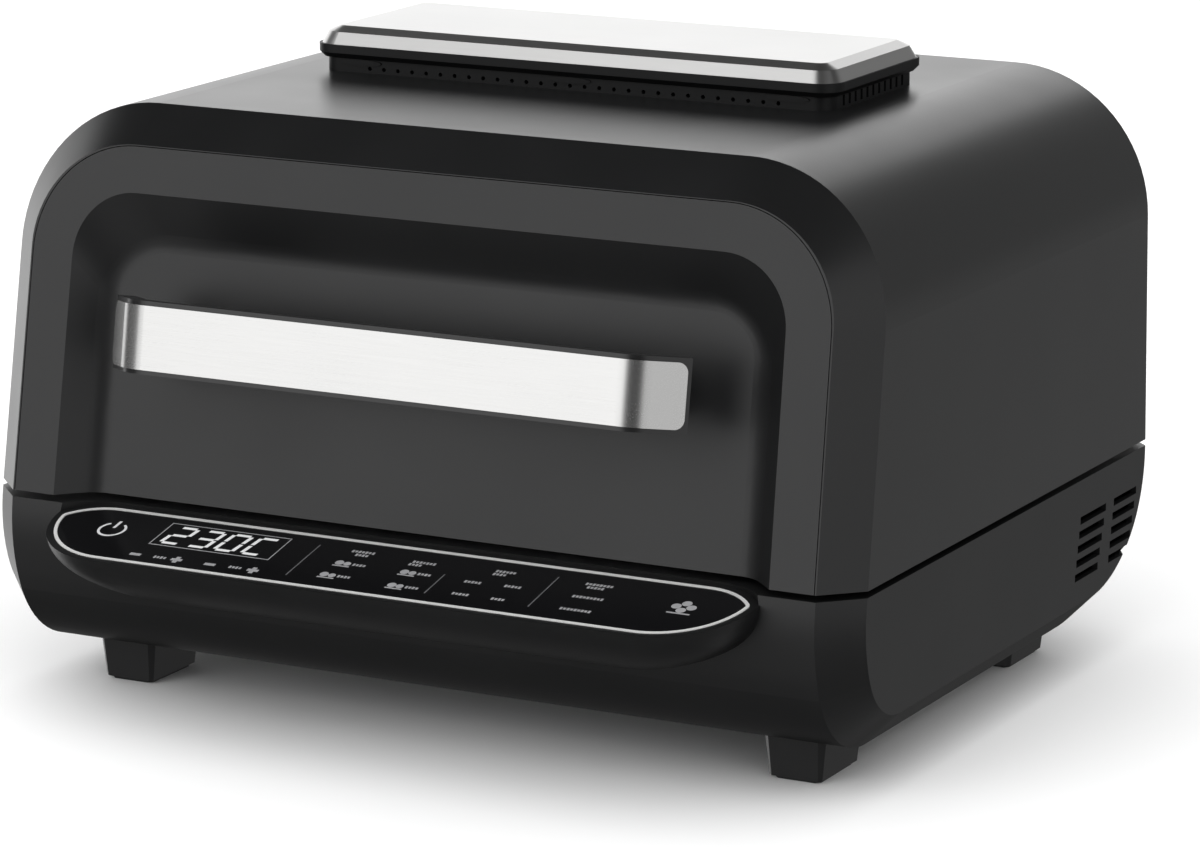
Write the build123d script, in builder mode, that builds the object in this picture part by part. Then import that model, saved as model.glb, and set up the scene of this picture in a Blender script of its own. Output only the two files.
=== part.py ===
from build123d import *
from math import atan2, cos, radians, sin, sqrt, tan
import os

# Countertop air fryer oven: a base with a tilted control ledge, and a large lid hinged at the back.
# Millimetres and degrees. X runs to the right seen from the front, Y to the back, Z up.
# The origin is on the ground, in the middle of the whole outline.

# Driving dimensions of the casing
WIDTH = 440
HALF = WIDTH / 2
FRONT_Y = -163.5
BACK_Y = 188
BOTTOM_Z = 20
BASE_TOP = 96
SEAM_Z = 97.5
LID_BOTTOM = 99
LID_TOP = 276
LEAN = 9.3
DRAFT = 0.8
BAND = 16.5
LID_CORNER = 69
WALL = 3
GAP = 0.4
DECK = 3

# Underside of the base in side view: radius and turn of each arc
FRONT_ARC = (82, 32)
REAR_LOW_ARC = (87.4, 40)
REAR_HIGH_TURN = 50
REAR_HIGH_Z = 94

# Control ledge
PANEL_Y = -178.3
PANEL_Z = 88.7
PANEL_TILT = 12.6
PANEL_TIP = (173.4, 12.2)
PANEL_FRONT = (135, -22.8)
PANEL_BACK = (150, 23.7)
PANEL_MARGIN = 4.5
LEDGE_BACK = 17

# Control ledge at five depths under the panel: depth, half width, reach to the front, corner radius
LEDGE_SHAPE = (
    (0, 177.5, 26.7, 42),
    (10, 175.8, 22.5, 40),
    (22, 165, 12.5, 36),
    (32, 145, -1, 30),
    (37, 122, -14, 20),
)

# Recess in the front of the lid
DISH_HALF = 181.8
DISH_TOP = 142.6
DISH_DEPTH = 14.2
DISH_CORNER = 32

# Handle, in the leaning plane of the lid's front
HANDLE_LOW = 66.2
HANDLE_HIGH = 95
HANDLE_OUT = 33.1
HANDLE_FLAT = 126.5
HANDLE_END = 143.8
HANDLE_END_OUT = 17
HANDLE_RIM = 2

# Cooking space
POT_Y = 15
POT_HALF_X = 142
POT_HALF_Y = 117
POT_FLOOR = 45.6
POT_RIM = 97.4
SHEET = 1.2

# Hinge
HINGE_Y = BACK_Y + 9
HINGE_Z = SEAM_Z
KNUCKLE_R = 7.5
PIN_R = 3
HINGE_X = 95
ARM_WIDTH = 20

# Fan and motor on one upright shaft
FAN_Y = 20
SHAFT_R = 3
LINER_TOP = 205

# Vent cap on the lid
CAP_Y = 46
CAP_SIZE = (272, 101.7)

# Reference planes: the leaning front of the lid, and the tilted control panel
lean = radians(LEAN)
tilt = radians(PANEL_TILT)
front_plane = Plane(origin=(0, FRONT_Y, SEAM_Z), x_dir=(1, 0, 0), z_dir=(0, -cos(lean), sin(lean)))
panel_plane = Plane(origin=(0, PANEL_Y, PANEL_Z), x_dir=(1, 0, 0), z_dir=(0, -sin(tilt), cos(tilt)))


def arch(half, bottom, top, radius):
    """Front outline of the lid: drafted sides and a flat top with round corners."""
    inward = (top - bottom) * tan(radians(DRAFT))
    with BuildSketch() as outline:
        with BuildLine():
            Polyline((-half, bottom), (half, bottom), (half - inward, top), (inward - half, top), close=True)
        make_face()
        fillet(outline.vertices().group_by(Axis.Y)[-1], radius)
    return outline.sketch


def panel_outline(grow):
    """Outline of the control panel: straight long sides, and ends of two arcs that meet in a soft tip."""
    with BuildSketch() as outline:
        with BuildLine():
            front = Line((0, PANEL_FRONT[1]), PANEL_FRONT)
            TangentArc(front @ 1, PANEL_TIP, tangent=(1, 0))
            back = Line((0, PANEL_BACK[1]), PANEL_BACK)
            TangentArc(back @ 1, PANEL_TIP, tangent=(1, 0))
            mirror(about=Plane.YZ)
        make_face()
        fillet(outline.vertices().filter_by(lambda tip: abs(tip.X) > PANEL_TIP[0] - 0.1), 4)
        offset(amount=grow)
    return outline.sketch


def ledge_outline(half, front, radius):
    """Plan of the control ledge: round front corners, and a back that runs into the casing."""
    with BuildSketch() as outline:
        with Locations((0, -front)):
            Rectangle(2 * half, front + 45, align=(Align.CENTER, Align.MIN))
        fillet(outline.vertices().group_by(Axis.Y)[0], radius)
    return outline.sketch


def base_side():
    """Side view of the base: leaning front, rolled underside and round back."""
    start = (FRONT_Y - (SEAM_Z - BASE_TOP) * tan(lean), BASE_TOP)
    roll_turn = 90 + LEAN - FRONT_ARC[1]
    with BuildSketch() as side:
        with BuildLine():
            upper = JernArc(start, (-sin(lean), -cos(lean)), *FRONT_ARC)
            roll_radius = (upper.position_at(1).Y - BOTTOM_Z) / (1 - cos(radians(roll_turn)))
            lower = JernArc(upper @ 1, upper % 1, roll_radius, roll_turn)
            radius, turn = REAR_LOW_ARC
            high = (REAR_HIGH_Z - BOTTOM_Z - radius * (1 - cos(radians(turn)))) / cos(radians(turn))
            rear_y = BACK_Y - radius * sin(radians(turn)) - high * (1 - sin(radians(turn)))
            Line(lower @ 1, (rear_y, BOTTOM_Z))
            rear_low = JernArc((rear_y, BOTTOM_Z), (1, 0), radius, turn)
            rear_high = JernArc(rear_low @ 1, rear_low % 1, high, REAR_HIGH_TURN)
            Polyline(rear_high @ 1, (BACK_Y, BASE_TOP), start)
        make_face()
    return side.sketch


def base_form(inset):
    """Solid filled by the base, drawn in by a wall, with the band round both side faces."""
    profile = base_side()
    with BuildPart() as form:
        with BuildSketch(Plane.YZ):
            add(profile)
            if inset:
                offset(amount=-inset, kind=Kind.INTERSECTION)
        extrude(amount=HALF - inset, both=True)
        sides = form.faces().filter_by(Axis.X)
        rim = sides.edges().filter_by(lambda edge: edge.center().Z < BASE_TOP - inset - 0.5)
        chamfer(rim, length=BAND - (2 - sqrt(2)) * inset)
    return form.part


def lid_form(inset, bottom):
    """Solid filled by the lid, drawn in by a wall, with the band round its front and back."""
    outline = arch(HALF - inset, bottom, LID_TOP - inset, LID_CORNER - inset)
    setback = FRONT_Y + inset / cos(lean)
    with BuildPart() as form:
        with BuildSketch(Plane.XZ.offset(inset - BACK_Y)):
            add(outline)
        extrude(amount=BACK_Y - FRONT_Y + BAND)
        with BuildSketch(Plane.YZ):
            with BuildLine():
                Polyline(
                    (setback + (bottom - SEAM_Z) * tan(lean), bottom),
                    (BACK_Y, bottom),
                    (BACK_Y, LID_TOP),
                    (setback + (LID_TOP - SEAM_Z) * tan(lean), LID_TOP),
                    close=True,
                )
            make_face()
        extrude(amount=HALF, both=True, mode=Mode.INTERSECT)
        ends = form.faces().sort_by(Axis.Y)
        rim = (ends[0].edges() + ends[-1].edges()).filter_by(lambda edge: edge.center().Z > bottom + 1)
        chamfer(rim, length=BAND - (2 - sqrt(2)) * inset)
    return form.part


def tub(half_x, half_y, radius, low, high, taper=0.0):
    """Plain rounded block round the cooking space, used for pots, liners and their hollows."""
    with BuildPart() as block:
        with BuildSketch(Plane.XY.offset(low)):
            with Locations((0, POT_Y)):
                RectangleRounded(2 * half_x, 2 * half_y, radius)
        extrude(amount=high - low, taper=taper)
    return block.part


base_outer = base_form(0)
base_inner = base_form(WALL)
lid_outer = lid_form(0, LID_BOTTOM)
lid_inner = lid_form(WALL, LID_BOTTOM - 1)

# Base housing: one moulded shell with the control ledge, a deck round the pot well and side vents
VENT_ROWS = 5
VENT_PITCH = 6.65
VENT_TOP = 76.5
VENT_HEIGHT = 3.6
VENT_SHIFT = 1.8
VENT_COLUMNS = ((91.3, 31.5), (132.5, 28.5))
WELL_HALF_X = 155
WELL_HALF_Y = 130
COVER_SIZE = (360, 150)
COVER_Y = -12
CORD_X = -150
CORD_Z = 62

ledge_cut = panel_outline(PANEL_MARGIN)
ledge_sections = [ledge_outline(*shape[1:]) for shape in LEDGE_SHAPE]
well_cut = tub(WELL_HALF_X, WELL_HALF_Y, 50, BASE_TOP - 2 * DECK, BASE_TOP + 1)
panel_seat = panel_outline(0.8)
with BuildPart() as ledge:
    for shape, section in zip(LEDGE_SHAPE, ledge_sections):
        with BuildSketch(panel_plane.offset(-shape[0])):
            add(section)
    loft()
    split(bisect_by=Plane.XZ.offset(-FRONT_Y - LEDGE_BACK), keep=Keep.TOP)

with BuildPart() as base_housing:
    add(base_outer)
    with BuildSketch(panel_plane):
        add(ledge_cut)
    extrude(amount=30, mode=Mode.SUBTRACT)
    add(base_inner, mode=Mode.SUBTRACT)
    add(ledge.part)
    add(well_cut, mode=Mode.SUBTRACT)
    with BuildSketch(panel_plane):
        add(panel_seat)
    extrude(amount=-2.4, mode=Mode.SUBTRACT)
    with BuildSketch(panel_plane.offset(-2)):
        with Locations((0, 3)):
            RectangleRounded(296, 34, 4)
    extrude(amount=-10, mode=Mode.SUBTRACT)
    with BuildSketch(Plane.XY.offset(BOTTOM_Z)):
        with Locations((0, COVER_Y)):
            RectangleRounded(*COVER_SIZE, 12)
    extrude(amount=2 * WALL, mode=Mode.SUBTRACT)
    for start, length in VENT_COLUMNS:
        for row in range(VENT_ROWS):
            y = start + length / 2 - row * VENT_SHIFT
            with BuildSketch(Plane.YZ):
                with Locations((y, VENT_TOP - row * VENT_PITCH)):
                    Rectangle(length - row * VENT_SHIFT / 2, VENT_HEIGHT)
            extrude(amount=HALF + 1, both=True, mode=Mode.SUBTRACT)
    with BuildSketch(Plane.XZ.offset(-BACK_Y + 40)):
        with Locations((CORD_X, CORD_Z)):
            Circle(9)
    extrude(amount=-60, mode=Mode.SUBTRACT)

# Bottom cover: plate with cooling slots, posts for the power board, and screw holes
COVER_CLEAR = 0.4
SCREW_SPOTS = [(x, COVER_Y + y) for x in (-145, 145) for y in (-66, 66)]
with BuildPart() as bottom_cover:
    with BuildSketch(Plane.XY.offset(BOTTOM_Z)):
        with Locations((0, COVER_Y)):
            RectangleRounded(COVER_SIZE[0] - 2 * COVER_CLEAR, COVER_SIZE[1] - 2 * COVER_CLEAR, 12)
            with GridLocations(26, 60, 8, 2):
                Rectangle(4, 34, mode=Mode.SUBTRACT)
    extrude(amount=2.5)
    with BuildSketch(Plane.XY.offset(BOTTOM_Z + 2.5)):
        with Locations((0, COVER_Y)):
            with GridLocations(300, 110, 2, 2):
                Circle(3.5)
    extrude(amount=3)

# Pot well: drawn steel tub with a flange that lies on the deck
well_tub = tub(WELL_HALF_X - 1, WELL_HALF_Y - 1, 49, POT_FLOOR - 1.7, BASE_TOP)
well_hollow = tub(WELL_HALF_X - 1 - SHEET, WELL_HALF_Y - 1 - SHEET, 48, POT_FLOOR - 0.5, BASE_TOP + 2)
well_flange = tub(WELL_HALF_X + 7, WELL_HALF_Y + 7, 56, BASE_TOP, BASE_TOP + SHEET)
with BuildPart() as well_liner:
    add(well_tub)
    add(well_flange)
    add(well_hollow, mode=Mode.SUBTRACT)

# Cooking pot: deep drawn tub with a rolled rim
pot_body = tub(POT_HALF_X, POT_HALF_Y, 44, POT_FLOOR, POT_RIM)
pot_rim = tub(POT_HALF_X + 6, POT_HALF_Y + 6, 50, POT_RIM - 2, POT_RIM)
pot_hollow = tub(POT_HALF_X - 1.6, POT_HALF_Y - 1.6, 42.4, POT_FLOOR + 1.6, POT_RIM + 1)
with BuildPart() as cooking_pot:
    add(pot_body)
    add(pot_rim)
    add(pot_hollow, mode=Mode.SUBTRACT)
    chamfer(cooking_pot.faces().sort_by(Axis.Z)[0].edges(), 1.4)

# Grill plate: cast plate with ribs, slots between them and four feet
PLATE_LOW = 53
PLATE_THICK = 4
RIB_HEIGHT = 3
RIB_PITCH = 20
plate_block = tub(POT_HALF_X - 6, POT_HALF_Y - 6, 38, PLATE_LOW, PLATE_LOW + PLATE_THICK)
with BuildPart() as grill_plate:
    add(plate_block)
    with BuildSketch(Plane.XY.offset(PLATE_LOW)):
        with Locations((0, POT_Y)):
            with GridLocations(RIB_PITCH, 104, 12, 2):
                Rectangle(6, 86)
    extrude(amount=PLATE_THICK, mode=Mode.SUBTRACT)
    with BuildSketch(Plane.XY.offset(PLATE_LOW + PLATE_THICK)):
        with Locations((0, POT_Y)):
            with GridLocations(RIB_PITCH, 1, 13, 1):
                Rectangle(5, 200)
    extrude(amount=RIB_HEIGHT, taper=12)
    with BuildSketch(Plane.XY.offset(PLATE_LOW)):
        with Locations((0, POT_Y)):
            with GridLocations(236, 186, 2, 2):
                Circle(5)
    extrude(amount=POT_FLOOR + 1.9 - PLATE_LOW)

# Control panel: chrome ring round a black glass, with a display and a board under it
ring_outer = panel_outline(0.7)
ring_inner = panel_outline(-0.9)
glass_outline = panel_outline(-1)
with BuildPart() as panel_ring:
    with BuildSketch(panel_plane.offset(-2.3)):
        add(ring_outer)
        add(ring_inner, mode=Mode.SUBTRACT)
    extrude(amount=2.6)
with BuildPart() as touch_panel:
    with BuildSketch(panel_plane.offset(-1.9)):
        add(glass_outline)
    extrude(amount=1.9)
with BuildPart() as display_module:
    with BuildSketch(panel_plane.offset(-8)):
        with Locations((-86, 6.5)):
            Rectangle(62, 21)
    extrude(amount=5.9)
with BuildPart() as control_board:
    with BuildSketch(panel_plane.offset(-10)):
        with Locations((0, 3)):
            Rectangle(290, 30)
    extrude(amount=1.6)

# Power board in the bottom of the base
with BuildPart() as power_board:
    with BuildSketch(Plane.XY.offset(BOTTOM_Z + 5.7)):
        with Locations((0, COVER_Y)):
            Rectangle(316, 124)
    extrude(amount=1.6)
    with BuildSketch(Plane.XY.offset(BOTTOM_Z + 7.3)):
        with Locations((-90, COVER_Y)):
            Rectangle(44, 36)
        with Locations((80, COVER_Y + 20), (110, COVER_Y - 20)):
            Circle(9)
    extrude(amount=13)

# Feet: tapered blocks cut to the curved underside, each with a rubber pad
FOOT_X = 172.5
FOOT_FRONT = -97.8
FOOT_REAR = 111.5
FOOT_TAPER = 6.3
PAD = 1.5
feet = {}
for side_name, side in (("left", -1), ("right", 1)):
    for end_name, y in (("front", FOOT_FRONT), ("rear", FOOT_REAR)):
        with BuildPart() as foot:
            with BuildSketch(Plane.XY.offset(PAD)) as sole:
                with Locations((side * FOOT_X, y)):
                    Rectangle(25.5, 39)
                chamfer(sole.vertices(), 1.5)
            extrude(amount=BOTTOM_Z * 2 - PAD, taper=-FOOT_TAPER)
            add(base_outer, mode=Mode.SUBTRACT)
        feet[f"foot_{end_name}_{side_name}"] = foot
with BuildPart() as foot_pads:
    with BuildSketch() as pads:
        with Locations((0, (FOOT_FRONT + FOOT_REAR) / 2)):
            with GridLocations(2 * FOOT_X, FOOT_REAR - FOOT_FRONT, 2, 2):
                Rectangle(22, 35)
        chamfer(pads.vertices(), 2)
    extrude(amount=PAD)

# Cord inlet: plastic bushing in the back wall, with its flange outside
CORD_BACK = 178
with BuildPart() as cord_inlet:
    with BuildSketch(Plane.XZ.offset(-CORD_BACK)):
        with Locations((CORD_X, CORD_Z)):
            Circle(8.8)
    extrude(amount=-10)
    with BuildSketch(Plane.XZ.offset(-CORD_BACK - 9)):
        with Locations((CORD_X, CORD_Z)):
            Circle(12)
    extrude(amount=-4)
    chamfer(cord_inlet.faces().sort_by(Axis.Y)[-1].edges(), 1)
    with BuildSketch(Plane.XZ.offset(-CORD_BACK)):
        with Locations((CORD_X, CORD_Z)):
            Circle(4)
    extrude(amount=-20, mode=Mode.SUBTRACT)

# Hinge: two brackets on the base, two arms on the lid, and a pin through each set of knuckles
KNUCKLE_GAP = 0.4
LUG_WIDTH = 11


def knuckle_side(bore, low, high):
    """Side view of a hinge leaf: an upright plate against the casing, and a knuckle behind it."""
    with BuildSketch() as side:
        with Locations((BACK_Y, (low + high) / 2)):
            Rectangle(3, high - low, align=(Align.MIN, Align.CENTER))
        with BuildLine():
            foot_z = low if high <= HINGE_Z else high
            Polyline(
                (BACK_Y + 0.01, HINGE_Z),
                (HINGE_Y, HINGE_Z),
                (BACK_Y + 3, (HINGE_Z + foot_z) / 2),
                (BACK_Y + 0.01, (HINGE_Z + foot_z) / 2),
                close=True,
            )
        make_face()
        with Locations((HINGE_Y, HINGE_Z)):
            Circle(KNUCKLE_R)
            Circle(bore, mode=Mode.SUBTRACT)
    return side.sketch


bracket_side = knuckle_side(PIN_R + 0.02, 70, HINGE_Z)
arm_side = knuckle_side(PIN_R + 0.06, LID_BOTTOM + 0.5, 136)
with BuildPart() as hinge_brackets:
    for x in (-HINGE_X, HINGE_X):
        for lug in (-1, 1):
            inner = x + lug * (ARM_WIDTH / 2 + KNUCKLE_GAP)
            with BuildSketch(Plane.YZ.offset(inner)):
                add(bracket_side)
            extrude(amount=lug * LUG_WIDTH)
        with BuildSketch(Plane.XZ.offset(-BACK_Y + 25)):
            with Locations((x, 76)):
                Rectangle(ARM_WIDTH + 2 * (LUG_WIDTH + KNUCKLE_GAP), 20)
        extrude(amount=-28)
    add(base_outer, mode=Mode.SUBTRACT)
with BuildPart() as lid_hinge_arms:
    for x in (-HINGE_X, HINGE_X):
        with BuildSketch(Plane.YZ.offset(x)):
            add(arm_side)
        extrude(amount=ARM_WIDTH / 2, both=True)
with BuildPart() as hinge_pins:
    with BuildSketch(Plane.YZ):
        with Locations((HINGE_Y, HINGE_Z)):
            Circle(PIN_R)
    pin_half = ARM_WIDTH / 2 + KNUCKLE_GAP + LUG_WIDTH + 0.5
    extrude(amount=HINGE_X + pin_half, both=True)
    with BuildSketch(Plane.YZ):
        with Locations((HINGE_Y, HINGE_Z)):
            Circle(2 * PIN_R)
    extrude(amount=HINGE_X - pin_half, both=True, mode=Mode.SUBTRACT)

# Lid hood: arched shell with an open front and bottom, and a vent opening under the cap
fascia_half = HALF - BAND - 0.4
fascia_top = (LID_TOP - SEAM_Z) / cos(lean) - BAND - 0.4
fascia_corner = LID_CORNER - BAND
hood_opening = arch(fascia_half, -20, fascia_top, fascia_corner)
with BuildPart() as lid_hood:
    add(lid_outer)
    add(lid_inner, mode=Mode.SUBTRACT)
    with BuildSketch(front_plane.offset(2)):
        add(hood_opening)
    extrude(amount=-12, mode=Mode.SUBTRACT)
    with BuildSketch(Plane.XY.offset(LID_TOP - 2 * WALL)):
        with Locations((0, CAP_Y)):
            RectangleRounded(200, 60, 10)
    extrude(amount=3 * WALL, mode=Mode.SUBTRACT)

# Front fascia: flat frame and a soft dished panel in one moulding
fascia_outline = arch(fascia_half - GAP, -20, fascia_top - GAP, fascia_corner - GAP)


def dish(grow, deep, soft):
    """Dished recess: wide sloping walls that roll into a flat panel, open at the bottom."""
    mouth = arch(DISH_HALF + grow, -30, DISH_TOP + grow, DISH_CORNER + grow)
    floor = arch(DISH_HALF - 14 + grow, -30, DISH_TOP - 22 + grow, DISH_CORNER - 2 + grow)
    with BuildPart() as hollow:
        with BuildSketch(front_plane):
            add(mouth)
        with BuildSketch(front_plane.offset(-deep)):
            add(floor)
        loft()
        inner = hollow.faces().sort_by(Axis((0, 0, 0), (0, cos(lean), -sin(lean))))[-1]
        fillet(inner.edges().filter_by(lambda e: front_plane.to_local_coords(e.center()).Y > -29), soft)
    return hollow.part


dish_hollow = dish(0, DISH_DEPTH, 16)
dish_back = dish(WALL, DISH_DEPTH + WALL, 18)
with BuildPart() as front_fascia:
    with BuildSketch(front_plane):
        add(fascia_outline)
    extrude(amount=-WALL)
    add(dish_back)
    add(dish_hollow, mode=Mode.SUBTRACT)
    split(bisect_by=Plane.XY.offset(LID_BOTTOM), keep=Keep.TOP)

# Handle: black moulded bar with two legs, and a bent stainless strip on its face
TRIM = 1
BEND_R = 20
BAR = 8
LEG_INSET = 2.4
LEG_ROOT = 126
LEG_TOP = 118
LEG_WIDTH = 22
handle_plane = Plane(
    origin=front_plane.from_local_coords((0, HANDLE_LOW, 0)),
    x_dir=(1, 0, 0),
    z_dir=(0, sin(lean), cos(lean)),
)


def handle_path(inset, extra):
    """Plan of the handle's face: flat in the middle and bent back at both ends."""
    turn = atan2(HANDLE_OUT - HANDLE_END_OUT, HANDLE_END - HANDLE_FLAT)
    flat_x = HANDLE_FLAT - inset * tan(turn / 2)
    end_x = HANDLE_END - inset * sin(turn) + extra * cos(turn)
    end_y = inset * cos(turn) - HANDLE_END_OUT + extra * sin(turn)
    front_y = inset - HANDLE_OUT
    points = ((-end_x, end_y), (-flat_x, front_y), (flat_x, front_y), (end_x, end_y))
    return FilletPolyline(*points, radius=BEND_R - inset)


with BuildPart() as handle_trim:
    with BuildSketch(handle_plane):
        with BuildLine():
            handle_path(TRIM / 2, 0)
        trace(line_width=TRIM)
    extrude(amount=HANDLE_HIGH - HANDLE_LOW)
    fillet(handle_trim.edges().filter_by(lambda e: e.length < 2 * TRIM and abs(e.center().X) > HANDLE_FLAT), 4.5)
with BuildPart() as handle_body:
    with BuildSketch(handle_plane.offset(-HANDLE_RIM)):
        with BuildLine():
            handle_path(TRIM + 0.1 + BAR / 2, HANDLE_RIM)
        trace(line_width=BAR)
    extrude(amount=HANDLE_HIGH - HANDLE_LOW + 2 * HANDLE_RIM)
    with BuildSketch(handle_plane.offset(LEG_INSET)):
        for side in (-1, 1):
            with BuildLine():
                Polyline(
                    (side * LEG_ROOT, DISH_DEPTH),
                    (side * (LEG_ROOT - LEG_WIDTH), DISH_DEPTH),
                    (side * (LEG_TOP - LEG_WIDTH), TRIM + BAR - HANDLE_OUT - 1),
                    (side * LEG_TOP, TRIM + BAR - HANDLE_OUT - 1),
                    close=True,
                )
            make_face()
    extrude(amount=HANDLE_HIGH - HANDLE_LOW - 2 * LEG_INSET)

# Lid floor: flat steel ring that closes the underside of the lid round the liner
LINER_HALF_X = 168
LINER_HALF_Y = 143
LINER_TAPER = 8
liner_outer = tub(LINER_HALF_X, LINER_HALF_Y, 55, LID_BOTTOM, LINER_TOP + SHEET, LINER_TAPER)
liner_hollow = tub(LINER_HALF_X - SHEET, LINER_HALF_Y - SHEET, 54, LID_BOTTOM, LINER_TOP, LINER_TAPER)
floor_hole = tub(LINER_HALF_X + 0.2, LINER_HALF_Y + 0.2, 55.2, LID_BOTTOM - 1, LID_BOTTOM + 3)
with BuildPart() as lid_floor:
    with BuildSketch(Plane.XY.offset(LID_BOTTOM)):
        with Locations((0, 20.2)):
            RectangleRounded(433, 329, 30)
    extrude(amount=1.5)
    add(floor_hole, mode=Mode.SUBTRACT)

# Lid liner: inner stainless tub, with holes for the shaft and the element's terminals
with BuildPart() as lid_liner:
    add(liner_outer)
    add(liner_hollow, mode=Mode.SUBTRACT)
    with BuildSketch(Plane.XY.offset(LINER_TOP - 1)):
        with Locations((0, FAN_Y)):
            Circle(6)
    extrude(amount=4, mode=Mode.SUBTRACT)
    with BuildSketch(Plane.XY.offset(LINER_TOP - 1)):
        with Locations((0, FAN_Y + 100)):
            with GridLocations(36, 1, 2, 1):
                Circle(4.3)
    extrude(amount=4, mode=Mode.SUBTRACT)

# Silicone seal under the lid, just outside the liner's mouth
SEAL_DROP = 1.3
seal_outer = tub(LINER_HALF_X + 10, LINER_HALF_Y + 10, 63, LID_BOTTOM - SEAL_DROP, LID_BOTTOM)
seal_inner = tub(LINER_HALF_X + 3, LINER_HALF_Y + 3, 57, LID_BOTTOM - SEAL_DROP, LID_BOTTOM)
with BuildPart() as lid_seal:
    add(seal_outer)
    add(seal_inner, mode=Mode.SUBTRACT)

# Heating element: one bent tube round the fan, with two terminals up through the liner
ELEMENT_Z = 188
ELEMENT_R = 4
ELEMENT_SIDES = 12
ELEMENT_HALF_X = 118
with BuildPart() as heating_element:
    with BuildLine() as element_path:
        loop = FilletPolyline(
            (-18, FAN_Y + 100, LINER_TOP + 12),
            (-18, FAN_Y + 100, ELEMENT_Z),
            (-ELEMENT_HALF_X, FAN_Y + 88, ELEMENT_Z),
            (-ELEMENT_HALF_X, FAN_Y - 88, ELEMENT_Z),
            (ELEMENT_HALF_X, FAN_Y - 88, ELEMENT_Z),
            (ELEMENT_HALF_X, FAN_Y + 88, ELEMENT_Z),
            (18, FAN_Y + 100, ELEMENT_Z),
            (18, FAN_Y + 100, LINER_TOP + 12),
            radius=12,
        )
    with BuildSketch(Plane(origin=loop @ 0, z_dir=loop % 0)):
        RegularPolygon(ELEMENT_R, ELEMENT_SIDES)
    sweep()

# Shield clips: four straps hung from the liner, each round the element, with the shield below
CLIP_PITCH_Y = 120
SHIELD_Z = 172
with BuildPart() as shield_clips:
    with BuildSketch(Plane.XY.offset(SHIELD_Z + SHEET + 0.3)):
        with Locations((0, FAN_Y)):
            with GridLocations(2 * ELEMENT_HALF_X, CLIP_PITCH_Y, 2, 2):
                Rectangle(14, 6)
    extrude(amount=LINER_TOP - SHIELD_Z - SHEET - 0.3)
    with BuildSketch(Plane.XZ.offset(-FAN_Y)):
        with Locations((0, ELEMENT_Z)):
            with GridLocations(2 * ELEMENT_HALF_X, 1, 2, 1):
                Circle(ELEMENT_R + 0.05)
    extrude(amount=CLIP_PITCH_Y, both=True, mode=Mode.SUBTRACT)

# Splatter shield: shallow steel plate with rows of slots and a turned-up edge
with BuildPart() as splatter_shield:
    with BuildSketch(Plane.XY.offset(SHIELD_Z)):
        with Locations((0, FAN_Y)):
            RectangleRounded(276, 216, 40)
            with GridLocations(30, 24, 8, 8):
                Rectangle(20, 8, mode=Mode.SUBTRACT)
    extrude(amount=SHEET)

# Fan and motor
FAN_R = 62
FAN_Z = 196
BLADES = 8
with BuildPart() as convection_fan:
    with BuildSketch(Plane.XY.offset(FAN_Z)):
        with Locations((0, FAN_Y)):
            Circle(FAN_R)
            Circle(SHAFT_R + 0.02, mode=Mode.SUBTRACT)
    extrude(amount=1.5)
    with BuildSketch(Plane.XY.offset(FAN_Z - 12)):
        with Locations((0, FAN_Y)):
            Circle(9)
            Circle(SHAFT_R + 0.02, mode=Mode.SUBTRACT)
            with PolarLocations(36, BLADES):
                with Locations(Location((0, 0, 0), 24)):
                    Rectangle(44, 1.6)
    extrude(amount=12)
with BuildPart() as cooling_fan:
    with BuildSketch(Plane.XY.offset(LINER_TOP + 6)):
        with Locations((0, FAN_Y)):
            with PolarLocations(25, 7):
                with Locations(Location((0, 0, 0), 20)):
                    Rectangle(36, 1.6)
            Circle(12)
            Circle(SHAFT_R + 0.02, mode=Mode.SUBTRACT)
    extrude(amount=9)
with BuildPart() as motor_shaft:
    with BuildSketch(Plane.XY.offset(FAN_Z - 14)):
        with Locations((0, FAN_Y)):
            Circle(SHAFT_R)
    extrude(amount=70)
MOTOR_Z = 226
with BuildPart() as fan_motor:
    with BuildSketch(Plane.XY.offset(MOTOR_Z)):
        with Locations((0, FAN_Y)):
            Circle(30)
    extrude(amount=28)
    chamfer(fan_motor.faces().sort_by(Axis.Z)[-1].edges(), 3)
    with BuildSketch(Plane.XY.offset(MOTOR_Z)):
        with Locations((0, FAN_Y)):
            Circle(SHAFT_R + 0.06)
    extrude(amount=28, mode=Mode.SUBTRACT)
with BuildPart() as motor_bracket:
    with BuildSketch(Plane.XZ.offset(-FAN_Y)):
        with BuildLine():
            Polyline(
                (-74, LINER_TOP + SHEET + 0.8),
                (-58, LINER_TOP + SHEET + 0.8),
                (-52, MOTOR_Z - 0.8),
                (52, MOTOR_Z - 0.8),
                (58, LINER_TOP + SHEET + 0.8),
                (74, LINER_TOP + SHEET + 0.8),
            )
        trace(line_width=1.6)
    extrude(amount=20, both=True)
    with BuildSketch(Plane.XY.offset(MOTOR_Z - 3)):
        with Locations((0, FAN_Y)):
            Circle(8)
    extrude(amount=6, mode=Mode.SUBTRACT)

# Temperature probe: thin rod through the back wall of the liner
with BuildPart() as temperature_probe:
    with BuildSketch(Plane.XZ.offset(-(POT_Y + LINER_HALF_Y - 16.5))):
        with Locations((92, 179)):
            Circle(2)
    extrude(amount=24)

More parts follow.
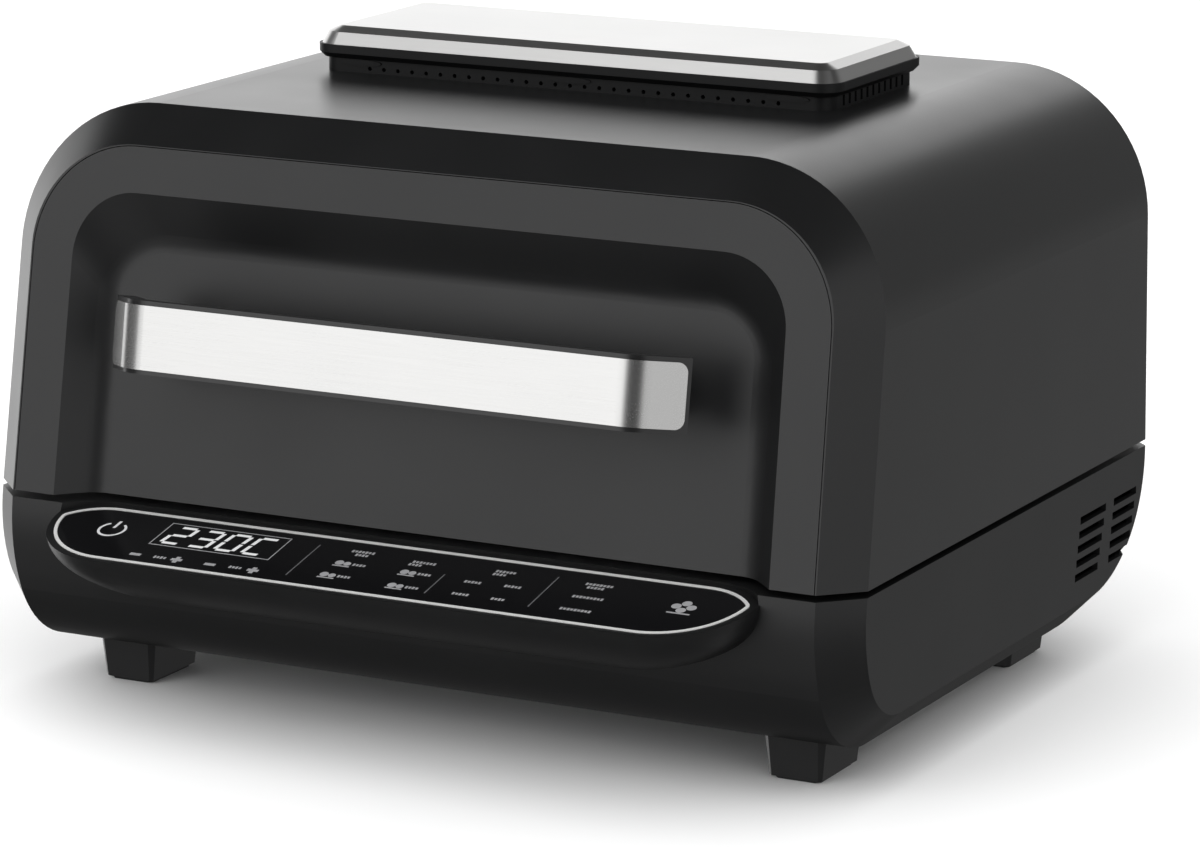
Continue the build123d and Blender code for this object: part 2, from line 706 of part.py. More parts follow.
# Vent cap: black tray with a row of air holes, and a stainless plate with bevelled edges
CAP_WALL_TOP = 282.6
CAP_RIM_TOP = 289
CAP_TOP = 297
CAP_HOLES = 29
CAP_HOLE_PITCH = 7.6
CAP_BOSS_PITCH = 111
CAP_WALL_Y = CAP_SIZE[1] / 2 - 4
with BuildPart() as vent_base:
    with BuildSketch(Plane.XY.offset(LID_TOP)):
        with Locations((0, CAP_Y)):
            RectangleRounded(CAP_SIZE[0] - 8, CAP_SIZE[1] - 8, 8)
    extrude(amount=CAP_WALL_TOP - LID_TOP)
    with BuildSketch(Plane.XY.offset(CAP_WALL_TOP)):
        with Locations((0, CAP_Y)):
            RectangleRounded(CAP_SIZE[0], CAP_SIZE[1], 11)
    extrude(amount=CAP_RIM_TOP - CAP_WALL_TOP)
    chamfer(vent_base.faces().filter_by(Axis.Z).sort_by(Axis.Z)[1].outer_wire().edges(), 2.5)
    with BuildSketch(Plane.XY.offset(LID_TOP)):
        with Locations((0, CAP_Y)):
            RectangleRounded(CAP_SIZE[0] - 13, CAP_SIZE[1] - 13, 6)
    extrude(amount=CAP_RIM_TOP - LID_TOP - 2.5, mode=Mode.SUBTRACT)
    with BuildSketch(Plane.XZ.offset(CAP_WALL_Y - 1 - CAP_Y)):
        with Locations((0, LID_TOP + 4.9)):
            with GridLocations(CAP_BOSS_PITCH, 1, 3, 1):
                Ellipse(11, 1.5)
    extrude(amount=1.8)
    with BuildSketch(Plane.XZ.offset(-CAP_Y)):
        with Locations((0, LID_TOP + 2.2)):
            with GridLocations(CAP_HOLE_PITCH, 1, CAP_HOLES, 1):
                RegularPolygon(1.1, 6)
    extrude(amount=CAP_SIZE[1] / 2, mode=Mode.SUBTRACT)
    with BuildSketch(Plane.YZ):
        with Locations((CAP_Y, LID_TOP + 3.4)):
            with GridLocations(6.4, 1, 11, 1):
                Rectangle(2.2, 5)
    extrude(amount=CAP_SIZE[0] / 2, both=True, mode=Mode.SUBTRACT)
with BuildPart() as vent_plate:
    for z, cut, radius in ((CAP_RIM_TOP, 1, 11), (CAP_RIM_TOP + 5.5, 4, 9)):
        with BuildSketch(Plane.XY.offset(z)):
            with Locations((0, CAP_Y)):
                RectangleRounded(CAP_SIZE[0] - 2 * cut, CAP_SIZE[1] - 2 * cut, radius)
    loft()
    for z, cut, radius in ((CAP_RIM_TOP + 5.5, 4, 9), (CAP_TOP, 9.5, 4)):
        with BuildSketch(Plane.XY.offset(z)):
            with Locations((0, CAP_Y)):
                RectangleRounded(CAP_SIZE[0] - 2 * cut, CAP_SIZE[1] - 2 * cut, radius)
    loft()
    with BuildSketch(Plane.XY.offset(CAP_RIM_TOP)):
        with Locations((0, CAP_Y)):
            RectangleRounded(CAP_SIZE[0] - 12, CAP_SIZE[1] - 12, 6)
    extrude(amount=CAP_TOP - CAP_RIM_TOP - 1.5, taper=35, mode=Mode.SUBTRACT)

# Screws: four in the bottom cover, and two in each lid hinge arm
with BuildPart() as bottom_screws:
    with BuildSketch(Plane.XY.offset(BOTTOM_Z - 2)):
        with Locations(*SCREW_SPOTS):
            Circle(3.5)
    extrude(amount=2)
with BuildPart() as hinge_screws:
    with BuildSketch(Plane.XZ.offset(-BACK_Y - 3)):
        for x in (-HINGE_X, HINGE_X):
            with Locations((x, 131), (x, 122)):
                Circle(3)
    extrude(amount=-1.8)

# Write each piece as its own file
pieces = {
    "base_housing": base_housing,
    "bottom_cover": bottom_cover,
    "well_liner": well_liner,
    "cooking_pot": cooking_pot,
    "grill_plate": grill_plate,
    "panel_ring": panel_ring,
    "touch_panel": touch_panel,
    "display_module": display_module,
    "control_board": control_board,
    "power_board": power_board,
    **feet,
    "foot_pads": foot_pads,
    "cord_inlet": cord_inlet,
    "hinge_brackets": hinge_brackets,
    "lid_hinge_arms": lid_hinge_arms,
    "hinge_pins": hinge_pins,
    "lid_hood": lid_hood,
    "front_fascia": front_fascia,
    "handle_body": handle_body,
    "handle_trim": handle_trim,
    "lid_floor": lid_floor,
    "lid_liner": lid_liner,
    "lid_seal": lid_seal,
    "heating_element": heating_element,
    "shield_clips": shield_clips,
    "splatter_shield": splatter_shield,
    "convection_fan": convection_fan,
    "cooling_fan": cooling_fan,
    "motor_shaft": motor_shaft,
    "fan_motor": fan_motor,
    "motor_bracket": motor_bracket,
    "temperature_probe": temperature_probe,
    "vent_base": vent_base,
    "vent_plate": vent_plate,
    "bottom_screws": bottom_screws,
    "hinge_screws": hinge_screws,
}
os.makedirs("parts", exist_ok=True)
for name, piece in pieces.items():
    piece.part.label = name
    export_step(piece.part, f"parts/{name}.step")
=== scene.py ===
# %% [markdown]
# # An air fryer oven on a pale studio floor
# The casing, lid, handle, pot and hinges arrive as finished solids. This notebook gives
# them their finishes, adds the printed panel and a few small details, and sets up the light.

# %% Load the solid model
from math import cos, pi, radians, sin
import bmesh
import bpy
from mathutils import Matrix, Vector


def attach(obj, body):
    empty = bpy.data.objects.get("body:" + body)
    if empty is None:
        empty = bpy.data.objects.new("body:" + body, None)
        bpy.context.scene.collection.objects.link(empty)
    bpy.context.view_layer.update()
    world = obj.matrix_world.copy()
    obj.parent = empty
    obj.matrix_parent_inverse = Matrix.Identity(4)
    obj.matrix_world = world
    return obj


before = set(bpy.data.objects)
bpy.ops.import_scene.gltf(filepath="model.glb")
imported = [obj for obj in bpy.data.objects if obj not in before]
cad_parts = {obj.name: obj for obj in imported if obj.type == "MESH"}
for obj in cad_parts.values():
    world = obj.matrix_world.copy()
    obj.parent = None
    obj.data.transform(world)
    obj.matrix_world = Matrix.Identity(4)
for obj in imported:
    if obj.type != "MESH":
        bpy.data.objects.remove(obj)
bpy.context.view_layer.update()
MM = 0.001

# %% [markdown]
# ## Camera
# A product shot is taken from far away with a long lens, so that parallel edges stay nearly
# parallel. The lens here is 152 mm, about 2.4 m from the oven, a little above its lid.

# %% Camera
TARGET = Vector((13.1, 4.0, 117.5)) * MM
CAMERA_PLACE = Vector((1081.6, -2042.6, 654.8)) * MM
LENS_LENGTH = 152.15
FILM_WIDTH = 36
lens = bpy.data.cameras.new("studio_camera")
lens.lens = LENS_LENGTH
lens.sensor_width = FILM_WIDTH
camera = bpy.data.objects.new("studio_camera", lens)
camera.location = CAMERA_PLACE
camera.rotation_euler = (TARGET - CAMERA_PLACE).to_track_quat("-Z", "Y").to_euler()
bpy.context.collection.objects.link(camera)
bpy.context.scene.camera = camera
bpy.context.scene.view_settings.view_transform = "Standard"
print("camera distance:", round((TARGET - CAMERA_PLACE).length, 3))

# %% [markdown]
# ## Shader arithmetic
# A material is a small graph of nodes. Writing `1 - grain * 0.2` is easier to read than
# wiring two Math nodes, so one class wraps a socket and turns Python's operators into nodes.

# %% Sockets that understand arithmetic
class Wire:
    """One output socket of a node graph, usable in plain arithmetic."""

    def __init__(self, graph, socket):
        self.graph = graph
        self.socket = socket

    def math(self, operation, *values):
        """A Math node on values that are wires or plain numbers."""
        inputs = dict(enumerate(values))
        return self.graph.node("ShaderNodeMath", {"operation": operation}, inputs)

    def __add__(self, other):
        return self.math("ADD", self, other)

    def __radd__(self, other):
        return self.math("ADD", other, self)

    def __sub__(self, other):
        return self.math("SUBTRACT", self, other)

    def __rsub__(self, other):
        return self.math("SUBTRACT", other, self)

    def __mul__(self, other):
        return self.math("MULTIPLY", self, other)

    def __rmul__(self, other):
        return self.math("MULTIPLY", other, self)


class Graph:
    """A node tree, with one method that adds any node to it."""

    def __init__(self, tree):
        self.tree = tree

    def node(self, kind, settings=None, inputs=None, output=0):
        made = self.tree.nodes.new(kind)
        for name, value in (settings or {}).items():
            setattr(made, name, value)
        for name, value in (inputs or {}).items():
            self.feed(made.inputs[name], value)
        return Wire(self, made.outputs[output])

    def feed(self, socket, value):
        """Link a wire to a socket, or set the socket to a plain value."""
        if isinstance(value, Wire):
            self.tree.links.new(value.socket, socket)
        else:
            socket.default_value = value

    def between(self, value, low, high, soft):
        """1 where a value lies between two limits, with soft edges."""
        rise = {"interpolation_type": "SMOOTHSTEP"}
        up = self.node("ShaderNodeMapRange", rise, {0: value, 1: low - soft, 2: low + soft})
        down = self.node("ShaderNodeMapRange", rise, {0: value, 1: high - soft, 2: high + soft})
        return up * (1 - down)


print("shader helpers ready")

# %% [markdown]
# ## Finishes
# Every finish starts from the Principled shader. `Finish` keeps the shader's constants on its
# own sockets and lets a pattern vary only the colour, the roughness or the bump.

# %% A finish
class Finish(Graph):
    """A material with a Principled shader, and patterns measured in millimetres."""

    def __init__(self, name, color, roughness, **constants):
        self.material = bpy.data.materials.new(name)
        self.material.use_nodes = True
        super().__init__(self.material.node_tree)
        self.shader = self.tree.nodes["Principled BSDF"]
        self.material.diffuse_color = (*color, 1)
        self.set(Base_Color=(*color, 1), Roughness=roughness, **constants)

    def set(self, **values):
        """Feed sockets of the shader, named with underscores for spaces."""
        for name, value in values.items():
            self.feed(self.shader.inputs[name.replace("_", " ")], value)

    def noise(self, size, detail, stretch=(1, 1, 1), roughness=0.5):
        """Noise whose blotches are about size millimetres across, times a stretch per axis."""
        place = self.node("ShaderNodeTexCoord", output="Object")
        scale = tuple(1 / (size * MM * s) for s in stretch)
        place = self.node("ShaderNodeMapping", {}, {"Vector": place, "Scale": scale})
        inputs = {"Vector": place, "Scale": 1.0, "Detail": detail, "Roughness": roughness}
        return self.node("ShaderNodeTexNoise", {}, inputs)

    def blend(self, factor, first, second):
        """A colour between two colours, by a factor from 0 to 1."""
        inputs = {"Factor": factor, "A": (*first, 1), "B": (*second, 1)}
        return self.node("ShaderNodeMix", {"data_type": "RGBA"}, inputs, output="Result")

    def bump(self, height, depth, strength):
        """Bump of a height pattern, with its full depth in millimetres."""
        inputs = {"Height": height, "Distance": depth * MM, "Strength": strength}
        self.set(Normal=self.node("ShaderNodeBump", {}, inputs))
        return self


print("finish class ready")

# %% [markdown]
# ## Black mouldings
# The casing is injection moulded in black plastic with a very fine spark-eroded grain. Two
# sizes of noise do it: a fine grain for the bump, and slow blotches in the colour and gloss.

# %% Black plastic finishes
BLOTCH_SIZE = 60
GRAIN_DEPTH = 0.02
GRAIN_STRENGTH = 0.35
GLOSS_SPREAD = 0.08
PALE_GAIN = 1.35
PALE_LIFT = 0.002


def moulded(name, color, roughness, grain, **constants):
    """Moulded plastic with a fine grain and a slightly uneven gloss."""
    finish = Finish(name, color, roughness, **constants)
    fine = finish.noise(grain, detail=3)
    slow = finish.noise(BLOTCH_SIZE, detail=2)
    paler = tuple(PALE_GAIN * channel + PALE_LIFT for channel in color)
    finish.set(Base_Color=finish.blend(slow, color, paler))
    finish.set(Roughness=roughness - GLOSS_SPREAD / 2 + slow * GLOSS_SPREAD)
    return finish.bump(fine, GRAIN_DEPTH, GRAIN_STRENGTH)


hood_black = moulded("hood_black", (0.0045, 0.0046, 0.0048), 0.31, 0.5, Specular_IOR_Level=0.4)
fascia_black = moulded("fascia_black", (0.006, 0.0061, 0.0064), 0.42, 0.5, Specular_IOR_Level=0.5)
base_black = moulded("base_black", (0.005, 0.0051, 0.0053), 0.42, 0.5, Specular_IOR_Level=0.4)
# The tray under the vent plate is darker and less glossy than the other black plastic: painted shade
# for the shadow under the steel plate.
vent_painted_shade = moulded("vent_painted_shade", (0.004, 0.0041, 0.0043), 0.45, 0.5, Specular_IOR_Level=0.22)
handle_black = moulded("handle_black", (0.005, 0.005, 0.0053), 0.3, 0.4, Specular_IOR_Level=0.5)
foot_black = moulded("foot_black", (0.005, 0.005, 0.0053), 0.5, 0.6, Specular_IOR_Level=0.4)
rubber_black = moulded("rubber_black", (0.012, 0.012, 0.012), 0.75, 0.8, Specular_IOR_Level=0.3)
print("plastics:", hood_black.material.name, base_black.material.name)

# %% [markdown]
# ## Metals
# Brushed stainless steel has long fine scratches. Noise that is stretched a hundred times
# along the brushing gives them, and it changes both the roughness and the bump a little.

# %% Metal finishes
SCRATCH_WIDTH = 0.25
CLOUD_SIZE = 45
SCRATCH_SHADE = 0.93
SCRATCH_DEPTH = 0.006
SCRATCH_STRENGTH = 0.3
SCRATCH_DULLING = 0.08
CLOUD_DULLING = 0.03
POLISH = 0.05


def brushed(name, color, roughness, along):
    """Brushed metal, with its scratches along the given stretch."""
    finish = Finish(name, color, roughness, Metallic=1.0)
    lines = finish.noise(SCRATCH_WIDTH, stretch=along, detail=4, roughness=0.7)
    cloud = finish.noise(CLOUD_SIZE, detail=2)
    darker = tuple(SCRATCH_SHADE * channel for channel in color)
    finish.set(Base_Color=finish.blend(lines, color, darker))
    dulling = lines * SCRATCH_DULLING + cloud * CLOUD_DULLING
    finish.set(Roughness=roughness - POLISH + dulling)
    return finish.bump(lines, SCRATCH_DEPTH, SCRATCH_STRENGTH)


STEEL = (0.54, 0.538, 0.533)
cap_steel = brushed("cap_steel", STEEL, 0.3, (120, 1, 1))
handle_steel = brushed("handle_steel", STEEL, 0.26, (120, 1, 1))
liner_steel = brushed("liner_steel", (0.62, 0.61, 0.6), 0.32, (40, 1, 1))
hinge_steel = brushed("hinge_steel", (0.45, 0.45, 0.45), 0.4, (1, 1, 30))
screw_steel = brushed("screw_steel", (0.5, 0.5, 0.5), 0.35, (1, 1, 1))
fan_aluminium = brushed("fan_aluminium", (0.75, 0.75, 0.76), 0.35, (12, 12, 1))
print("metals:", cap_steel.material.name, liner_steel.material.name)

# %% [markdown]
# The ring round the control panel is plastic with a satin silver paint, so it stays bright
# even where the sky that it mirrors is dark. A little metal in the shader gives the sheen.

# %% Silver paint
ring_silver = Finish("ring_silver", (0.76, 0.76, 0.75), 0.36, Metallic=0.3)
flakes = ring_silver.noise(0.4, detail=2)
ring_silver.set(Base_Color=ring_silver.blend(flakes, (0.74, 0.74, 0.73), (0.8, 0.8, 0.79)))
ring_silver.set(Roughness=0.32 + flakes * 0.08)
ring_silver.bump(flakes, 0.01, 0.2)
print("paint:", ring_silver.material.name)

# %% [markdown]
# ## Other finishes
# The panel is glossy black, the pot has a dark non-stick coating with pale specks, and the
# element's sheath is oxidised in uneven blue-grey patches.

# %% Glossy panel
panel_gloss = Finish("panel_gloss", (0.004, 0.004, 0.0045), 0.1, Specular_IOR_Level=0.5)
smears = panel_gloss.noise(25, stretch=(3, 1, 1), detail=3)
panel_gloss.set(Roughness=0.07 + smears * 0.08)
panel_gloss.bump(smears, 0.02, 0.1)
print("panel:", panel_gloss.material.name)

# %% Coatings of the pot and the grill plate
COATING = (0.016, 0.016, 0.017)
SPECK = (0.09, 0.09, 0.09)
nonstick = moulded("nonstick_coating", COATING, 0.4, 0.7)
specks = nonstick.noise(0.9, detail=1)
speck_mask = nonstick.node("ShaderNodeMapRange", {}, {0: specks, 1: 0.66, 2: 0.72})
nonstick.set(Base_Color=nonstick.blend(speck_mask, COATING, SPECK))
cast_black = moulded("cast_black", (0.018, 0.018, 0.019), 0.5, 1.2)
print("coatings:", nonstick.material.name, cast_black.material.name)

# %% Element, seal, boards and motor
sheath = Finish("element_sheath", (0.08, 0.08, 0.085), 0.5, Metallic=0.8)
patches = sheath.noise(14, detail=3)
sheath.set(Base_Color=sheath.blend(patches, (0.05, 0.052, 0.06), (0.16, 0.15, 0.14)))
sheath.set(Roughness=0.4 + patches * 0.2)
silicone = moulded("silicone_seal", (0.16, 0.16, 0.165), 0.6, 0.6)
board_green = Finish("board_green", (0.02, 0.12, 0.05), 0.4)
traces = board_green.noise(3, stretch=(4, 1, 1), detail=1)
board_green.set(Base_Color=board_green.blend(traces, (0.01, 0.08, 0.035), (0.03, 0.16, 0.07)))
motor_case = brushed("motor_case", (0.4, 0.4, 0.41), 0.42, (1, 1, 12))
print("materials so far:", len(bpy.data.materials))

# %% [markdown]
# ## Which solid gets which finish
# On the real oven each part is moulded, pressed, cast or wound from one material. A table from
# finish to solids keeps that in one place, and the last line names any solid left out.

# %% Give each solid its finish
FINISHES = {
    hood_black: ["lid_hood"],
    fascia_black: ["front_fascia"],
    base_black: ["base_housing", "bottom_cover"],
    vent_painted_shade: ["vent_base"],
    handle_black: ["handle_body"],
    foot_black: ["foot_front_left", "foot_front_right", "foot_rear_left", "foot_rear_right"],
    rubber_black: ["foot_pads", "cord_inlet"],
    cap_steel: ["vent_plate"],
    handle_steel: ["handle_trim"],
    liner_steel: ["well_liner", "lid_floor", "lid_liner", "splatter_shield"],
    hinge_steel: ["hinge_brackets", "lid_hinge_arms", "shield_clips", "motor_bracket"],
    screw_steel: ["hinge_pins", "bottom_screws", "hinge_screws", "motor_shaft", "temperature_probe"],
    fan_aluminium: ["convection_fan", "cooling_fan"],
    ring_silver: ["panel_ring"],
    panel_gloss: ["touch_panel", "display_module"],
    nonstick: ["cooking_pot"],
    cast_black: ["grill_plate"],
    sheath: ["heating_element"],
    silicone: ["lid_seal"],
    board_green: ["control_board", "power_board"],
    motor_case: ["fan_motor"],
}
for finish, names in FINISHES.items():
    for name in names:
        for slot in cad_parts[name].material_slots:
            slot.material = finish.material
unfinished = set(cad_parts) - {name for names in FINISHES.values() for name in names}
print("solids without a finish:", unfinished)

# %% [markdown]
# ## The printed panel
# Symbols are printed on the glossy panel. They could be a picture laid over it, but thin real
# shapes stay sharp at any distance and need no picture. Each one is drawn flat in millimetres
# and made a hair thick. The panel slopes up towards the back, so one matrix carries a drawing
# from flat paper to its place.

# %% Printing on the panel
PANEL_TILT = radians(12.6)
PANEL_PLACE = Vector((0, -178.3, 88.7)) * MM
across = Vector((1, 0, 0))
back = Vector((0, cos(PANEL_TILT), sin(PANEL_TILT)))
panel_matrix = Matrix.Translation(PANEL_PLACE) @ Matrix(
    [(across[i], back[i], across.cross(back)[i], 0) for i in range(3)] + [(0, 0, 0, 1)]
)
print("panel matrix ready")

# %% Flat shapes to draw with
DISC_SIDES = 20
ARC_STEPS = 28


def bar(mesh, x, y, width, height, slant=0.0):
    """A flat bar centred at x, y, leaning by slant."""
    made = bmesh.ops.create_grid(mesh, x_segments=1, y_segments=1, size=0.5)["verts"]
    bmesh.ops.scale(mesh, vec=(width, height, 1), verts=made)
    shear = Matrix(((1, slant, 0), (0, 1, 0), (0, 0, 1)))
    bmesh.ops.transform(mesh, matrix=shear.to_4x4(), verts=made)
    bmesh.ops.translate(mesh, vec=(x, y, 0), verts=made)


def disc(mesh, x, y, radius):
    """A flat round dot centred at x, y."""
    circle = {"cap_ends": True, "segments": DISC_SIDES, "radius": radius}
    made = bmesh.ops.create_circle(mesh, **circle)["verts"]
    bmesh.ops.translate(mesh, vec=(x, y, 0), verts=made)


def arc(mesh, x, y, radius, width, start, turn):
    """A flat part of a ring: a short line spun about its middle."""
    before = set(mesh.verts)
    ends = [mesh.verts.new((radius + side * width / 2, 0, 0)) for side in (-1, 1)]
    line = mesh.edges.new(ends)
    bmesh.ops.rotate(mesh, matrix=Matrix.Rotation(start, 3, "Z"), verts=ends)
    spin = {"cent": (0, 0, 0), "axis": (0, 0, 1), "angle": turn, "steps": ARC_STEPS}
    bmesh.ops.spin(mesh, geom=[*ends, line], **spin)
    made = [vert for vert in mesh.verts if vert not in before]
    bmesh.ops.translate(mesh, vec=(x, y, 0), verts=made)


print("shapes: bar, disc, arc")

# %% From a drawing to a printed piece
PRINT_THICKNESS = 0.06


def printed(name, draw, finish):
    """Make a printed piece from a drawing, lay it on the panel and let it ride on the base."""
    mesh = bmesh.new()
    draw(mesh)
    grown = bmesh.ops.extrude_face_region(mesh, geom=list(mesh.faces))["geom"]
    lifted = [item for item in grown if isinstance(item, bmesh.types.BMVert)]
    bmesh.ops.translate(mesh, vec=(0, 0, PRINT_THICKNESS), verts=lifted)
    bmesh.ops.recalc_face_normals(mesh, faces=mesh.faces)
    bmesh.ops.scale(mesh, vec=(MM, MM, MM), verts=mesh.verts)
    bmesh.ops.transform(mesh, matrix=panel_matrix, verts=mesh.verts)
    data = bpy.data.meshes.new(name)
    mesh.to_mesh(data)
    mesh.free()
    data.materials.append(finish.material)
    piece = bpy.data.objects.new(name, data)
    bpy.context.collection.objects.link(piece)
    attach(piece, "base")
    print(name, "faces:", len(data.polygons))


# %% [markdown]
# ## Print and light
# The marks are screen printed in white and two greys. Print is never quite even, so a slow
# noise changes its shade a little. The digits glow from behind the panel, weakly enough to
# keep their edges sharp.

# %% Print and light finishes
print_white = Finish("print_white", (0.62, 0.63, 0.64), 0.35)
fade = print_white.noise(6, detail=2)
print_white.set(Base_Color=print_white.blend(fade, (0.55, 0.56, 0.57), (0.72, 0.72, 0.73)))
print_grey = Finish("print_grey", (0.3, 0.3, 0.31), 0.4)
worn = print_grey.noise(5, detail=2)
print_grey.set(Base_Color=print_grey.blend(worn, (0.24, 0.24, 0.25), (0.38, 0.38, 0.39)))
line_grey = Finish("line_grey", (0.1, 0.1, 0.105), 0.4)
thin = line_grey.noise(8, detail=2)
line_grey.set(Base_Color=line_grey.blend(thin, (0.08, 0.08, 0.085), (0.14, 0.14, 0.145)))
digit_light = Finish("digit_light", (0.5, 0.5, 0.5), 0.4, Emission_Strength=0.28)
glow = digit_light.noise(9, detail=1)
digit_light.set(Emission_Color=digit_light.blend(glow, (0.84, 0.86, 0.88), (0.97, 0.98, 1.0)))
print("print finishes ready")

# %% [markdown]
# ## Display
# The digits are the usual seven segments. A table gives the lit segments of each sign, and
# the whole number leans a little, as on most displays.

# %% Seven-segment display
SEGMENTS = {
    "2": "abdeg",
    "3": "abcdg",
    "0": "abcdef",
    "C": "adef",
}
SHOWN = "230C"
DIGIT_WIDTH = 9.2
DIGIT_HEIGHT = 15.5
DIGIT_PITCH = 14.1
FIRST_DIGIT = (-108.2, 6.8)
STROKE = 1.9
STROKE_GAP = 1.1
LEAN = 0.12


def digits(mesh):
    """The lit segments of the display."""
    wide, tall = DIGIT_WIDTH, DIGIT_HEIGHT
    left, middle = FIRST_DIGIT
    places = {
        "a": (0, tall / 2, True),
        "g": (0, 0, True),
        "d": (0, -tall / 2, True),
        "b": (wide / 2, tall / 4, False),
        "c": (wide / 2, -tall / 4, False),
        "f": (-wide / 2, tall / 4, False),
        "e": (-wide / 2, -tall / 4, False),
    }
    for index, sign in enumerate(SHOWN):
        for segment in SEGMENTS[sign]:
            x, y, flat = places[segment]
            size = (wide - STROKE, STROKE) if flat else (STROKE, tall / 2 - STROKE_GAP)
            place = left + index * DIGIT_PITCH + x + LEAN * y
            bar(mesh, place, middle + y, *size, slant=LEAN)


print("shown:", SHOWN)

# %% Outline of the display
OUTLINE_MIDDLE = (-86.9, 6.8)
OUTLINE_SIZE = (62.2, 21.4)
OUTLINE_STROKE = 0.5


def display_outline(mesh):
    """Four thin lines round the digits."""
    middle_x, middle_y = OUTLINE_MIDDLE
    wide, tall = OUTLINE_SIZE
    for side in (-1, 1):
        bar(mesh, middle_x + side * wide / 2, middle_y, OUTLINE_STROKE, tall)
    for side in (-1, 1):
        bar(mesh, middle_x, middle_y + side * tall / 2, wide + OUTLINE_STROKE, OUTLINE_STROKE)


printed("display_digits", digits, digit_light)
printed("display_outline", display_outline, print_grey)

# %% [markdown]
# ## Symbols
# The symbols stay generic: a standby ring, minus and plus keys, small covered dishes and rows
# of plain blocks where captions would stand. No words are drawn.

# %% Captions
BLOCK_WIDTH = 1.15
BLOCK_HEIGHTS = (2.1, 1.722)
BLOCK_PITCH = 1.7


def caption(mesh, x, y, blocks):
    """Short upright blocks in a row, in place of a word."""
    for index in range(blocks):
        place = (index - (blocks - 1) / 2) * BLOCK_PITCH
        bar(mesh, x + place, y, BLOCK_WIDTH, BLOCK_HEIGHTS[index % 2])


# middle across, middle up the panel, number of blocks
CAPTIONS = (
    (-105.5, -15.0, 4),
    (-66.3, -14.8, 4),
    (-17.0, 14.2, 7),
    (-16.2, 11.2, 4),
    (15.2, 11.9, 7),
    (12.0, 9.2, 4),
    (45.4, 0.8, 5),
    (45.6, -11.1, 5),
    (55.2, 13.5, 6),
    (53.5, 10.6, 4),
    (64.8, 1.5, 5),
    (64.1, -11.1, 4),
    (101.5, 12.9, 8),
    (101.0, 10.0, 5),
    (102.0, 0.7, 9),
    (102.0, -11.2, 9),
)


def captions(mesh):
    """All the captions that stand alone."""
    for x, y, blocks in CAPTIONS:
        caption(mesh, x, y, blocks)


print("captions:", len(CAPTIONS))

# %% Standby ring, and minus and plus keys
STANDBY = (-142.9, 4.5)
STANDBY_RADIUS = 6.3
MINUS_KEYS = (-118.3, -79.3)
PLUS_KEYS = (-96.7, -57.0)
KEYS_ROW = -15.1
KEY_LENGTH = 5.6
KEY_STROKE = 2.1


def standby(mesh):
    """A ring that is open at the top, with a short line in the gap."""
    x, y = STANDBY
    arc(mesh, x, y, STANDBY_RADIUS, 1.25, radians(125), radians(290))
    bar(mesh, x, y + 4.9, 1.4, 6.8)


def setting_keys(mesh):
    """A minus and a plus for the temperature, and again for the time."""
    for x in MINUS_KEYS + PLUS_KEYS:
        bar(mesh, x, KEYS_ROW, KEY_LENGTH, KEY_STROKE)
    for x in PLUS_KEYS:
        for side in (-1, 1):
            bar(mesh, x, KEYS_ROW + side * 1.95, KEY_STROKE, 1.7)


print("keys:", len(MINUS_KEYS + PLUS_KEYS))

# %% Dividers, dishes and fan
# middle across, middle up the panel, length
DIVIDERS = ((-40, 0.3, 30.6), (29.6, -5.1, 18.8), (80.3, 0.95, 29.3))
DIVIDER_STROKE = 0.6
DISHES = ((-18.0, 1.8), (-19.0, -10.2), (15.2, 1.4), (16.0, -11.6))
FAN = (146.6, 4.1)
BLADES = 4


def dividers(mesh):
    """Thin upright lines between the groups of keys."""
    for x, y, length in DIVIDERS:
        bar(mesh, x, y, DIVIDER_STROKE, length)


def dish(mesh, x, y):
    """A covered dish: two humps on a line, and a short word beside it."""
    disc(mesh, x - 4.4, y + 0.4, 2.1)
    disc(mesh, x - 0.4, y + 0.2, 1.8)
    bar(mesh, x - 2.4, y - 2.4, 8.4, 0.9)
    caption(mesh, x + 5.6, y + 0.2, 4)


def food_symbols(mesh):
    """One dish for each cooking programme."""
    for x, y in DISHES:
        dish(mesh, x, y)


def fan(mesh):
    """Four round blades over a short line."""
    x, y = FAN
    for index in range(BLADES):
        angle = index * 2 * pi / BLADES
        disc(mesh, x + 3.6 * cos(angle), y + 3.2 * sin(angle), 2.3)
    bar(mesh, x, y - 6.1, 11.0, 1.0)


print("dividers:", len(DIVIDERS), "dishes:", len(DISHES))

# %% Print the symbols
for name, draw, finish in (
    ("standby_symbol", standby, print_white),
    ("setting_symbols", setting_keys, print_grey),
    ("panel_dividers", dividers, line_grey),
    ("food_symbols", food_symbols, print_grey),
    ("panel_captions", captions, print_grey),
    ("fan_symbol", fan, print_grey),
):
    printed(name, draw, finish)

# %% [markdown]
# ## Floor and light
# The floor is a wide pale sheet. Two wide lamps light it, one overhead and a weaker one from
# the front, which opens the shadow under the oven. Neither shows in reflections, and nor does
# the floor. What the black plastic mirrors is a ring of soft boxes painted on the sky: bright
# in front on the left, on the right, and low behind, with a dark ceiling. That gives the dark
# bevels between lighter faces.

# %% Floor
FLOOR_HALF = 30
FLOOR_WHITE = (0.93, 0.93, 0.93)
floor_mesh = bmesh.new()
bmesh.ops.create_grid(floor_mesh, x_segments=1, y_segments=1, size=FLOOR_HALF)
floor_data = bpy.data.meshes.new("studio_floor")
floor_mesh.to_mesh(floor_data)
floor_mesh.free()
floor = bpy.data.objects.new("studio_floor", floor_data)
bpy.context.collection.objects.link(floor)
floor_finish = Finish("studio_floor", FLOOR_WHITE, 0.8, Specular_IOR_Level=0.0)
floor_data.materials.append(floor_finish.material)
floor.visible_glossy = False
print("floor ready")

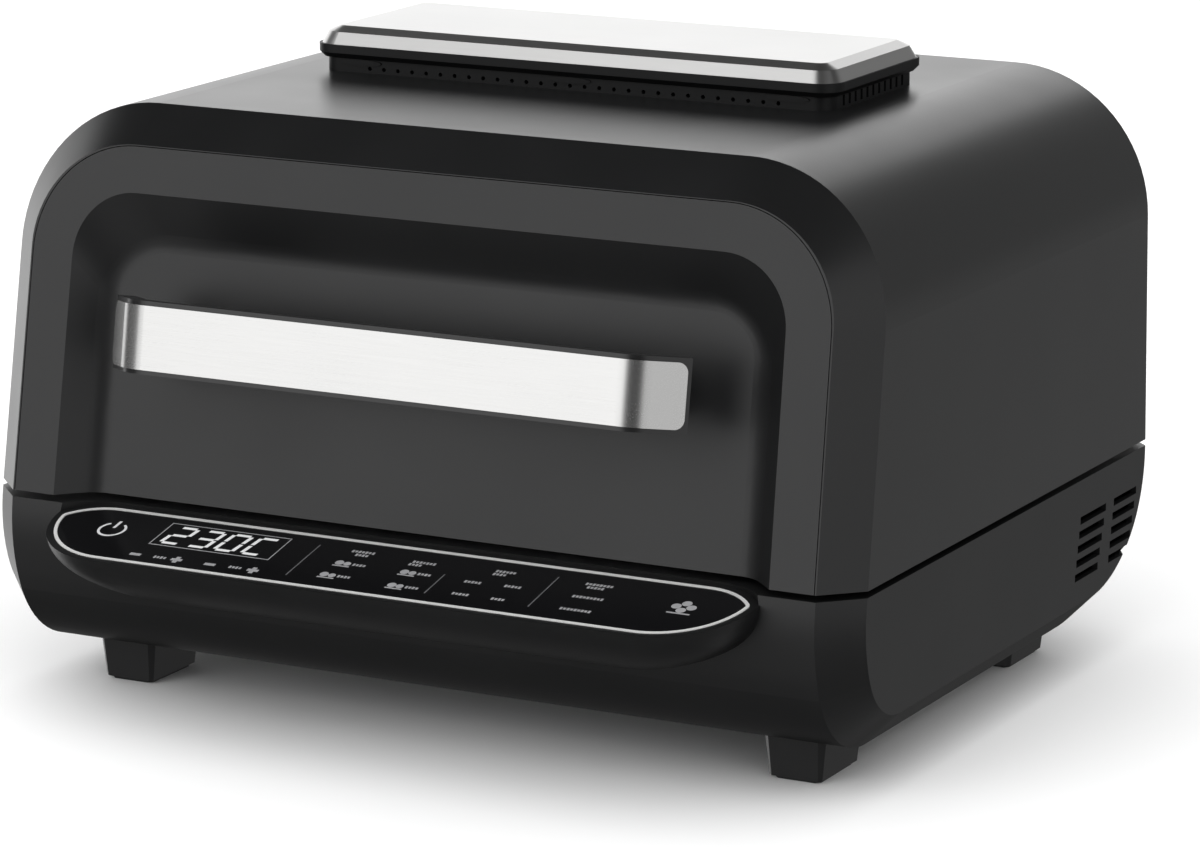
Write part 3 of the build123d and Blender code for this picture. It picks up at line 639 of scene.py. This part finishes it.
# %% Lamps
def lamp(name, strength, spread, turned):
    """A wide soft lamp far away, which lights surfaces but shows in none of them."""
    data = bpy.data.lights.new(name, "SUN")
    data.energy = strength
    data.angle = radians(spread)
    made = bpy.data.objects.new(name, data)
    made.rotation_euler = [radians(angle) for angle in turned]
    made.visible_glossy = False
    bpy.context.collection.objects.link(made)
    print(name, strength)


lamp("overhead_light", 2.7, 110, (0, 0, 0))
lamp("fill_light", 1.1, 90, (56, 0, 28))

# %% [markdown]
# ## Soft boxes
# The large lamps of a studio are boxes of light. They could be glowing planes, but painted on
# the sky by their angles they take no room. Two angles name every direction: the turn about
# the oven and the height over the floor.

# %% Sky coordinates
world = bpy.data.worlds.new("studio_light")
world.use_nodes = True
bpy.context.scene.world = world
sky = Graph(world.node_tree)
direction = sky.node("ShaderNodeTexCoord", output="Generated")
x, y, z = (
    sky.node("ShaderNodeSeparateXYZ", {}, {"Vector": direction}, output=axis) for axis in "XYZ"
)
turn = x.math("ARCTAN2", x, -1 * y) * (180 / pi)
height = z.math("ARCSINE", z) * (180 / pi)
print("sky:", world.name)

# %% Paint the boxes
# left, right, low and high edge in degrees, strength; 0 is the front and 90 the right
SOFT_BOXES = (
    (-80, -46, -10, 44, 0.12),
    (-46, -6, -10, 51, 1.8),
    (-60, 10, -46, -25, 0.4),
    (38, 88, -12, 40, 0.86),
    (-181, -96, -2, 32, 1.55),
    (-138, -98, -32, -2, 1.55),
    (110, 181, -2, 30, 0.2),
    (96, 170, -60, -4, 0.28),
)
SOFT_SIDES = 6
SOFT_ENDS = 7
CEILING = 0.05
HORIZON = 0.05
HORIZON_EDGES = (-90, 20, 25)
light = CEILING + sky.between(height, *HORIZON_EDGES) * HORIZON
for left, right, low, high, strength in SOFT_BOXES:
    across_box = sky.between(turn, left, right, SOFT_SIDES)
    light = light + across_box * sky.between(height, low, high, SOFT_ENDS) * strength
backdrop = world.node_tree.nodes["Background"]
sky.feed(backdrop.inputs["Strength"], light)
backdrop.inputs["Color"].default_value = (1, 1, 1, 1)
print("soft boxes:", len(SOFT_BOXES))
